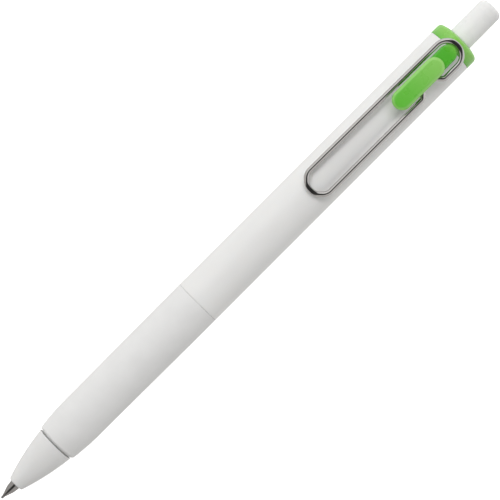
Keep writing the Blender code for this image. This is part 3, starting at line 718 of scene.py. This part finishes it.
def leg_slot(corner, side, inwards):
    """A channel at 45 degrees for one leg of the clip; inwards is +1 towards the rear."""
    half = WIRE_RADIUS + FIT
    ahead = Vector((inwards, 1)).normalized()
    across = Vector((-ahead.y, ahead.x)) * half
    leg_height = PIVOT_HEIGHT + (corner - PIVOT_STATION) * math.tan(clip_slope())
    bottom = leg_height - WIRE_RADIUS - LEG_ROOM
    bend = Vector((corner, side))
    reach = LEG_LENGTH * math.sqrt(2) + LEG_END_ROOM
    rings = []
    for place in (bend - ahead, bend + ahead * reach):
        low, high = place - across, place + across
        rings.append([
            spot(*low, bottom), spot(*high, bottom), spot(*high, BOSS_TOP + CUT_PAST),
            spot(*low, BOSS_TOP + CUT_PAST),
        ])
    vertices, faces = skin(rings, False)
    faces += [(3, 2, 1, 0), (4, 5, 6, 7)]
    return vertices, faces


def upright_cylinder(station, radius, low, high, columns=32):
    rings = []
    for height, size in ((low, 0), (low, radius), (high, radius), (high, 0)):
        turns = [2 * math.pi * k / columns for k in range(columns if size else 1)]
        rings.append([spot(station + size * math.cos(t), size * math.sin(t), height) for t in turns])
    return skin(rings, False)


def clip_slope():
    """How steeply the wire clip climbs from the barrel towards its pivot."""
    rise = PIVOT_HEIGHT - FRONT_WIRE_HEIGHT
    return math.atan2(rise, PIVOT_STATION - (span("clip_wire")[0] + WIRE_RADIUS))


def make_end_cap():
    """The green collar with its boss, the clip's slots and the button's hole."""
    spigot = REAR_BORE_RADIUS - FIT
    dome_edge = COLLAR_END - COLLAR_DOME
    corner = arc(
        (dome_edge - COLLAR_ROUND, BARREL_RADIUS - COLLAR_ROUND), COLLAR_ROUND, 90, 12, 14
    )
    hole_round = BUTTON_HOLE_ROUND
    hole_centre = (COLLAR_END - hole_round, BUTTON_HOLE_RADIUS + hole_round)
    hole_edge = arc(hole_centre, hole_round, 0, -90, 5)
    face_fall, face_width = COLLAR_FACE
    outline = [(CAP_START, CAP_CAVITY_RADIUS), (CAP_START, spigot), (COLLAR_START, spigot)]
    outline += front_edge(COLLAR_START) + corner
    outline += [(COLLAR_END - face_fall, BUTTON_HOLE_RADIUS + face_width)] + hole_edge + [
        (COLLAR_END - COLLAR_LIP, BUTTON_HOLE_RADIUS), (COLLAR_END - COLLAR_LIP, CAP_CAVITY_RADIUS),
    ]
    cap = add("end_cap_body", turned(outline, SHELL_COLUMNS, True), LOOKS["green_plastic"])

    levels = [(BOSS_BASE, 0)] + upper_edge(BOSS_TOP, BOSS_ROUND)
    boss = add("boss", stadium_block(BOSS_FRONT, BOSS_REAR, BOSS_HALF_WIDTH, levels), None)
    ahead = BOSS_FRONT - 2 * CUT_PAST
    saddle = [
        (ahead, 0), (ahead, SADDLE_RADIUS), (COLLAR_START, SADDLE_RADIUS), (COLLAR_START, 0),
    ]
    combine(boss, [add("saddle", turned(saddle, SHELL_COLUMNS, False), None)], "DIFFERENCE")
    combine(cap, [boss], "UNION")

    front_slot = leg_slot(LEG_CORNERS[0], CLIP_FRONT_SIDES[0], 1)
    rear_slot = leg_slot(LEG_CORNERS[1], CLIP_REAR_SIDES[0], -1)
    cutters = [add("slot", front_slot, None), add("slot", rear_slot, None)]
    for station in PEG_STATIONS:
        bottom = BOSS_TOP - PEG_DEPTH - PEG_ROOM
        hole = upright_cylinder(station, PEG_RADIUS + FIT, bottom, BOSS_TOP + CUT_PAST)
        cutters.append(add("peg_hole", hole, None))
    combine(cap, cutters, "DIFFERENCE")
    finish_piece(cap, "barrel", "green_plastic", "end_cap")


def make_tab():
    """The pad over the clip's legs: a chamfered rim round a flat, plain top."""
    levels = lower_edge(TAB_BASE, TAB_ROUND) + upper_edge(TAB_TOP - TAB_RIM_DROP, TAB_ROUND)
    levels += [(TAB_TOP - drop, inset) for drop, inset in TAB_CROWN]
    surface = stadium_block(TAB_FRONT, TAB_REAR, TAB_HALF_WIDTH, levels)
    tab = add("tab", surface, LOOKS["light_green_plastic"])
    pegs = [
        add("peg", upright_cylinder(s, PEG_RADIUS, BOSS_TOP - PEG_DEPTH, TAB_BASE + PEG_ROOT), None)
        for s in PEG_STATIONS
    ]
    combine(tab, pegs, "UNION")
    finish_piece(tab, "barrel", "light_green_plastic", "clip_tab")


def filleted(corners, steps_per_turn=96):
    """A path through flat corners, each rounded by its radius."""
    path = [corners[0][0]]
    for (before, _), (corner, radius), (after, _) in zip(corners, corners[1:], corners[2:]):
        arrive = (corner - before).normalized()
        leave = (after - corner).normalized()
        bend = arrive.angle(leave)
        inside = (leave - arrive * arrive.dot(leave)).normalized()
        centre = corner - arrive * radius * math.tan(bend / 2) + inside * radius
        steps = round(steps_per_turn * bend / (2 * math.pi))
        for k in range(steps + 1):
            turn = bend * k / steps
            path.append(centre - radius * inside * math.cos(turn) + radius * arrive * math.sin(turn))
    path.append(corners[-1][0])
    return path


def swept(path, sideways, radius, sides):
    """A round wire along a path; sideways is a direction across the wire at each point."""
    rings = []
    for k, place in enumerate(path):
        ahead = (path[min(k + 1, len(path) - 1)] - path[max(k - 1, 0)]).normalized()
        across = (sideways[k] - ahead * sideways[k].dot(ahead)).normalized()
        third = ahead.cross(across)
        turns = [2 * math.pi * j / sides for j in range(sides)]
        rings.append([place + radius * (across * math.cos(t) + third * math.sin(t)) for t in turns])
    return skin([[path[0]]] + rings + [[path[-1]]], False)


def make_clip():
    """The bent steel wire: a long loop whose two ends slant into the boss."""
    first, last = span("clip_wire")
    front, rear = first + WIRE_RADIUS, last - WIRE_RADIUS
    slant, bend = CLIP_FRONT_SLANT, CLIP_CORNER_RADIUS
    (near, far), (rear_near, rear_far) = CLIP_FRONT_SIDES, CLIP_REAR_SIDES
    # Just under half the width, so that the two rear bends don't meet
    half_circle = (rear_far - rear_near) / 2 - 0.02
    front_leg, rear_leg = LEG_CORNERS
    plan = [
        (front_leg + LEG_LENGTH, near + LEG_LENGTH, 0), (front_leg, near, LEG_BEND_RADIUS),
        (front + slant, near, bend), (front, near + slant, bend),
        (front, far - slant, bend), (front + slant, far, bend),
        (rear, rear_far, half_circle), (rear, rear_near, half_circle),
        (rear_leg, rear_near, LEG_BEND_RADIUS), (rear_leg - LEG_LENGTH, rear_near + LEG_LENGTH, 0),
    ]
    corners = [
        (Vector((station - PIVOT_STATION, y, 0)) * MM, radius * MM) for station, y, radius in plan
    ]
    tilt = Matrix.Rotation(-clip_slope(), 3, "Y")
    pivot = spot(PIVOT_STATION, 0, PIVOT_HEIGHT)
    path = [pivot + tilt @ place for place in filleted(corners)]
    upright = [tilt @ Vector((0, 0, 1))] * len(path)
    piece = add("clip", swept(path, upright, WIRE_RADIUS * MM, CLIP_WIRE_SIDES), LOOKS["clip_steel"])
    finish_piece(piece, "clip", "clip_steel", "clip_wire")


# ---------------------------------------------------------- button, tip, spring


def make_button():
    """The push button, with a generous round at its end."""
    corner = arc((PEN_END - BUTTON_ROUND, BUTTON_RADIUS - BUTTON_ROUND), BUTTON_ROUND, 90, 0, 16)
    last = PEN_END - BUTTON_ROUND - EDGE_MARGIN
    body = [(s, BUTTON_RADIUS) for s in between(BUTTON_START + BUTTON_START_BEVEL, last, 8)]
    outline = [
        (BUTTON_BORE_END, 0), (BUTTON_BORE_END, BUTTON_BORE_RADIUS),
        (BUTTON_START, BUTTON_BORE_RADIUS),
        (BUTTON_START, BUTTON_RADIUS - BUTTON_START_BEVEL),
    ] + body + corner + [(PEN_END, 0)]
    piece = add("button", turned(outline, SMALL_COLUMNS, False), LOOKS["button_plastic"])
    finish_piece(piece, "button", "button_plastic", "knock_button")


def make_tip():
    """The turned steel tip and its ball."""
    pocket = BALL_RADIUS + BALL_GAP
    channel = BALL_RADIUS / 2
    corner = TIP_SHOULDER_ROUND
    shank = [(TIP_SHANK_START, TIP_RADIUS)]
    shank += arc((TIP_SHOULDER - corner, TIP_RADIUS - corner), corner, 90, 0, 4)
    outline = [(TIP_RIM, pocket)] + list(TIP_CONE) + shank + [
        (TIP_SHOULDER, TIP_STEM_RADIUS), (TIP_STEM_END, TIP_STEM_RADIUS),
        (TIP_STEM_END, TIP_HOLLOW_RADIUS), (TIP_HOLLOW_START, TIP_HOLLOW_RADIUS),
        (TIP_CHANNEL[1], channel), (TIP_CHANNEL[0], channel), (BALL_SEAT, pocket),
    ]
    piece = add("tip", turned(outline, SMALL_COLUMNS, True), LOOKS["tip_steel"])
    finish_piece(piece, "refill", "tip_steel", "refill_tip")
    steps = BALL_COLUMNS // 2
    ends = arc((BALL_RADIUS, 0), BALL_RADIUS, 180, 0, steps)
    outline = [(s, r if 0 < k < steps else 0) for k, (s, r) in enumerate(ends)]
    piece = add("ball", turned(outline, BALL_COLUMNS, False), LOOKS["carbide_ball"])
    finish_piece(piece, "refill", "carbide_ball", "tip_ball")


def make_return_spring():
    """The coil between the nose cone's seat and the refill's shoulder."""
    first, last = SPRING_START + SPRING_WIRE_RADIUS, SPRING_END - SPRING_WIRE_RADIUS
    closed = SPRING_CLOSED_PITCH
    pitch = (last - first - 2 * closed) / SPRING_ACTIVE_TURNS
    path, outwards = [], []
    for k in range((SPRING_ACTIVE_TURNS + 2) * SPRING_STEPS_PER_TURN + 1):
        turns = k / SPRING_STEPS_PER_TURN
        active = min(max(turns - 1, 0), SPRING_ACTIVE_TURNS)
        station = first + closed * (turns - active) + pitch * active
        angle = 2 * math.pi * turns
        path.append(point(station, SPRING_RADIUS, angle))
        outwards.append(Vector((0, math.cos(angle), math.sin(angle))))
    surface = swept(path, outwards, SPRING_WIRE_RADIUS * MM, SPRING_WIRE_SIDES)
    piece = add("spring", surface, LOOKS["spring_steel"])
    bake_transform(piece)
    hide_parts("return_spring")


def dress_cad_nodes():
    """Gives every CAD node its material; nine inner ones keep their CAD shape in the model."""
    for entry in frame["record"]["subparts"]:
        node = frame["nodes"][entry["node"]]
        node.data.materials.clear()
        node.data.materials.append(LOOKS[entry["material_slot"]])
        node.data.shade_smooth()
        node.data.set_sharp_from_angle(angle=math.radians(30))


# ------------------------------------------------------------ studio and camera

# Camera: places and widths in millimetres on the pen
CAMERA_TILT = math.radians(2.4)
VIEW_CENTRE_STATION = 71.7
VIEW_CENTRE_SIDE = 0.07
FRAME_WIDTH = 102.04
LENS = 200.0
SENSOR = 36.0
FLOOR_HALF_SIZE = 3.0  # metres

# Room: directions and colours of the light that comes from all round
BRIGHT_SIDE = (0.85, 0.05, 0.0)
ROOM_DARK = (0.67, 0.655, 0.63)
ROOM_BRIGHT = (0.97, 0.97, 0.97)
BAND_COLOUR = (0.04, 0.04, 0.04)
BAND_NORMAL = (0.0, 1.0, 0.038)
BAND_INNER = math.radians(17)
BAND_OUTER = math.radians(27)
BAND_FOOT = (0.08, 0.3)  # heights between which the band fades in above the horizon

# Lights: a place and a size in metres, and a power in watts
KEY = ((0.3, 0.43, 1.0), (1.4, 0.28), 6.9)
SOFTBOX = ((0.3, 0.75, 0.75), (1.3, 0.35), 0.9)


def make_floor():
    mesh = bpy.data.meshes.new("floor")
    size = FLOOR_HALF_SIZE
    corners = [(-size, -size, 0), (size, -size, 0), (size, size, 0), (-size, size, 0)]
    mesh.from_pydata(corners, [], [(0, 1, 2, 3)])
    floor = bpy.data.objects.new("floor", mesh)
    bpy.context.scene.collection.objects.link(floor)
    look = Look("floor_paper", 0.8)
    look.tint(look.noise(60 * MM, 2.0), (0.90, 0.90, 0.90), (0.91, 0.91, 0.91))
    look.set("Emission Color", (1, 1, 1, 1))
    look.set("Emission Strength", 0.8)
    mesh.materials.append(look.material)
    floor.visible_glossy = False
    floor.visible_diffuse = False


def area_light(name, place, size, power):
    light = bpy.data.lights.new(name, "AREA")
    light.shape = "RECTANGLE"
    light.size, light.size_y = size
    light.energy = power
    holder = bpy.data.objects.new(name, light)
    holder.location = place
    holder.rotation_euler = (-Vector(place)).to_track_quat("-Z", "Y").to_euler()
    bpy.context.scene.collection.objects.link(holder)
    return holder


def make_world():
    """A pale room, brighter towards the button's end, with a dark band overhead along the pen."""
    world = bpy.data.worlds.new("studio")
    bpy.context.scene.world = world
    world.use_nodes = True
    tree = world.node_tree
    background = tree.nodes["Background"]
    direction = tree.nodes.new("ShaderNodeTexCoord").outputs["Generated"]

    def along_axis(axis):
        """How far a direction points along an axis, from -1 to 1."""
        product = tree.nodes.new("ShaderNodeVectorMath")
        product.operation = "DOT_PRODUCT"
        product.inputs[1].default_value = Vector(axis).normalized()
        tree.links.new(direction, product.inputs[0])
        return product.outputs["Value"]

    def eased(value, start, end):
        """Goes smoothly from 0 to 1 as a value passes from start to end."""
        share = tree.nodes.new("ShaderNodeMapRange")
        share.interpolation_type = "SMOOTHSTEP"
        share.inputs["From Min"].default_value = start
        share.inputs["From Max"].default_value = end
        tree.links.new(value, share.inputs["Value"])
        return share.outputs["Result"]

    def mixed(factor, first, second):
        mix = tree.nodes.new("ShaderNodeMix")
        mix.data_type = "RGBA"
        tree.links.new(factor, mix.inputs["Factor"])
        for socket, colour in (("A", first), ("B", second)):
            if isinstance(colour, tuple):
                mix.inputs[socket].default_value = (*colour, 1)
            else:
                tree.links.new(colour, mix.inputs[socket])
        return mix.outputs["Result"]

    room = mixed(eased(along_axis(BRIGHT_SIDE), -1, 1), ROOM_DARK, ROOM_BRIGHT)
    off_band = tree.nodes.new("ShaderNodeMath")
    off_band.operation = "ABSOLUTE"
    tree.links.new(along_axis(BAND_NORMAL), off_band.inputs[0])
    outside = eased(off_band.outputs["Value"], math.sin(BAND_INNER), math.sin(BAND_OUTER))
    overhead = mixed(outside, BAND_COLOUR, room)
    height = eased(along_axis((0, 0, 1)), *BAND_FOOT)
    tree.links.new(mixed(height, room, overhead), background.inputs["Color"])


def make_camera():
    """Looks down on the pen, tilted a little about its axis; the pen runs from lower left to
    upper right."""
    back = Vector((0, math.sin(CAMERA_TILT), math.cos(CAMERA_TILT)))
    side = Vector((0, -math.cos(CAMERA_TILT), math.sin(CAMERA_TILT)))
    pen = Vector((1, 0, 0))
    right = (pen + side).normalized()
    up = (pen - side).normalized()
    target = spot(VIEW_CENTRE_STATION, 0, 0) + side * VIEW_CENTRE_SIDE * MM
    distance = FRAME_WIDTH * MM * LENS / SENSOR
    camera = bpy.data.cameras.new("camera")
    camera.lens = LENS
    camera.sensor_width = SENSOR
    camera.clip_start = 0.01
    holder = bpy.data.objects.new("camera", camera)
    turn = Matrix((right, up, back)).transposed().to_4x4()
    holder.matrix_world = Matrix.Translation(target + back * distance) @ turn
    bpy.context.scene.collection.objects.link(holder)
    bpy.context.scene.camera = holder


def make_studio():
    make_floor()
    make_world()
    key = area_light("key", *KEY)
    key.visible_glossy = False
    area_light("softbox", *SOFTBOX)
    make_camera()
    bpy.context.scene.view_settings.view_transform = "Standard"


dress_cad_nodes()
make_barrel()
make_grip()
make_nose()
make_end_cap()
make_tab()
make_clip()
make_button()
make_tip()
make_return_spring()
make_studio()
